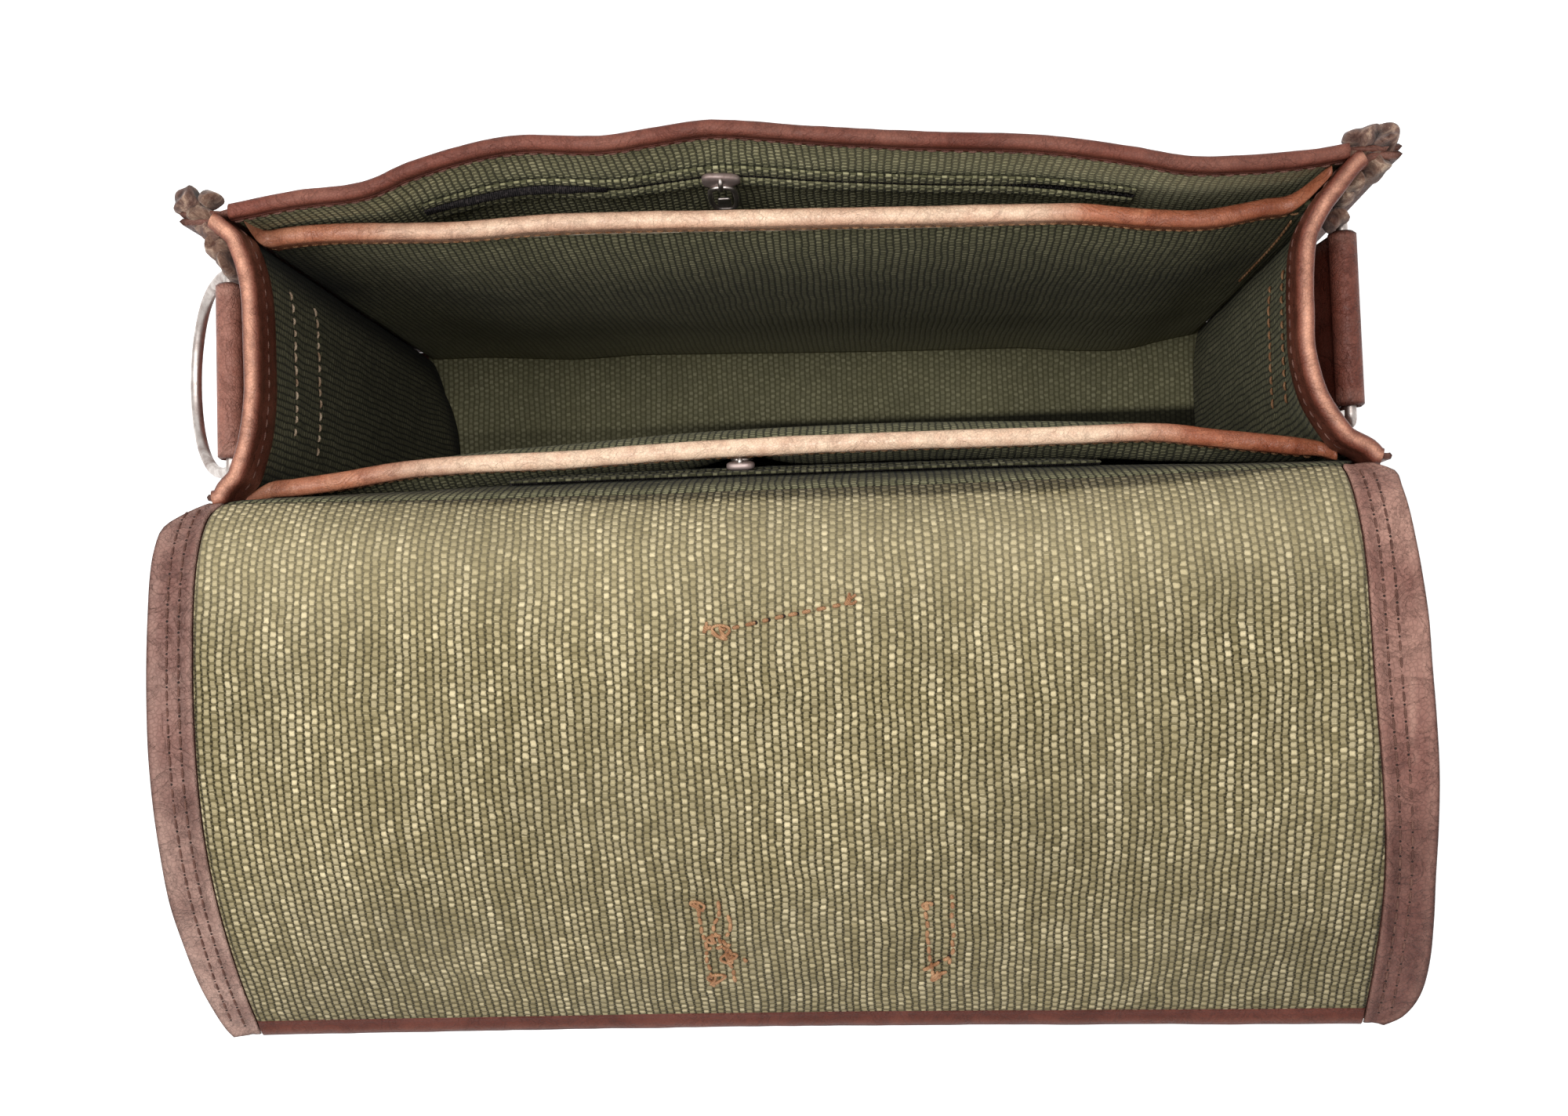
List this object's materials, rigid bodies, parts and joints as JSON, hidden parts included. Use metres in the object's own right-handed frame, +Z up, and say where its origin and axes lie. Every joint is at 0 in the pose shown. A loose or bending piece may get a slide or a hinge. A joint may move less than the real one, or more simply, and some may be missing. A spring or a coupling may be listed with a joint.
{
  "type": "messenger bag",
  "caption": "Flap-over messenger bag standing open, leather outside and canvas lining inside, with divided main space, zip pockets, bound edges and side D-rings in leather tabs.",
  "frame": {"origin": "middle of the footprint of the whole bag with its flap thrown back, on the surface it stands on", "axes": "+X along the bag's length, +Y from the back panel to the front panel, +Z up"},
  "size_m": [0.4276, 0.312, 0.2935],
  "materials": {
    "leather_panel": "brown pull-up leather, satin",
    "leather_tab": "brown leather, satin",
    "leather_margin": "dull reddish brown leather, matt grain",
    "leather_binding": "reddish brown leather, rolled, satin",
    "leather_tan": "worn tan leather, rolled, satin",
    "canvas_inside": "olive green plain-weave canvas, matt",
    "canvas_flap": "faded olive green plain-weave canvas, matt",
    "zip_tape": "black zip tape and coil, matt",
    "nickel": "dulled nickel plating"
  },
  "bodies": {
    "bag": {"front_panel": "leather_panel", "back_panel_and_flap": "leather_panel", "base_panel": "leather_panel", "gusset_left": "leather_panel", "gusset_right": "leather_panel", "side_tab_left": "leather_tab", "side_tab_right": "leather_tab", "flap_margin_left": "leather_margin", "flap_margin_right": "leather_margin", "flap_hem": "leather_margin", "front_rim_binding": "leather_binding", "gusset_binding_left": "leather_binding", "gusset_binding_right": "leather_binding", "divider_front_binding": "leather_tan", "divider_back_binding": "leather_tan", "front_lining": "canvas_inside", "back_lining": "canvas_inside", "floor_lining": "canvas_inside", "gusset_lining_left": "canvas_inside", "gusset_lining_right": "canvas_inside", "divider_front": "canvas_inside", "divider_back": "canvas_inside", "flap_lining": "canvas_flap", "zip_band_front": "zip_tape", "zip_band_back": "zip_tape", "zip_slider_front": "nickel", "zip_slider_back": "nickel", "zip_pull_front": "nickel", "zip_pull_back": "nickel"},
    "left_ring": {"ring_left": "nickel"},
    "right_ring": {"ring_right": "nickel"}
  },
  "joints": [
    {"name": "left_ring_swing", "type": "hinge", "parent": "bag", "child": "left_ring", "pos_m": [-0.18697, 0.08109, 0.2465], "axis": [0, 1, 0], "range_deg": [-38, 115]},
    {"name": "right_ring_swing", "type": "hinge", "parent": "bag", "child": "right_ring", "pos_m": [0.19903, 0.08409, 0.2465], "axis": [0, -1, 0], "range_deg": [0, 146]}
  ]
}
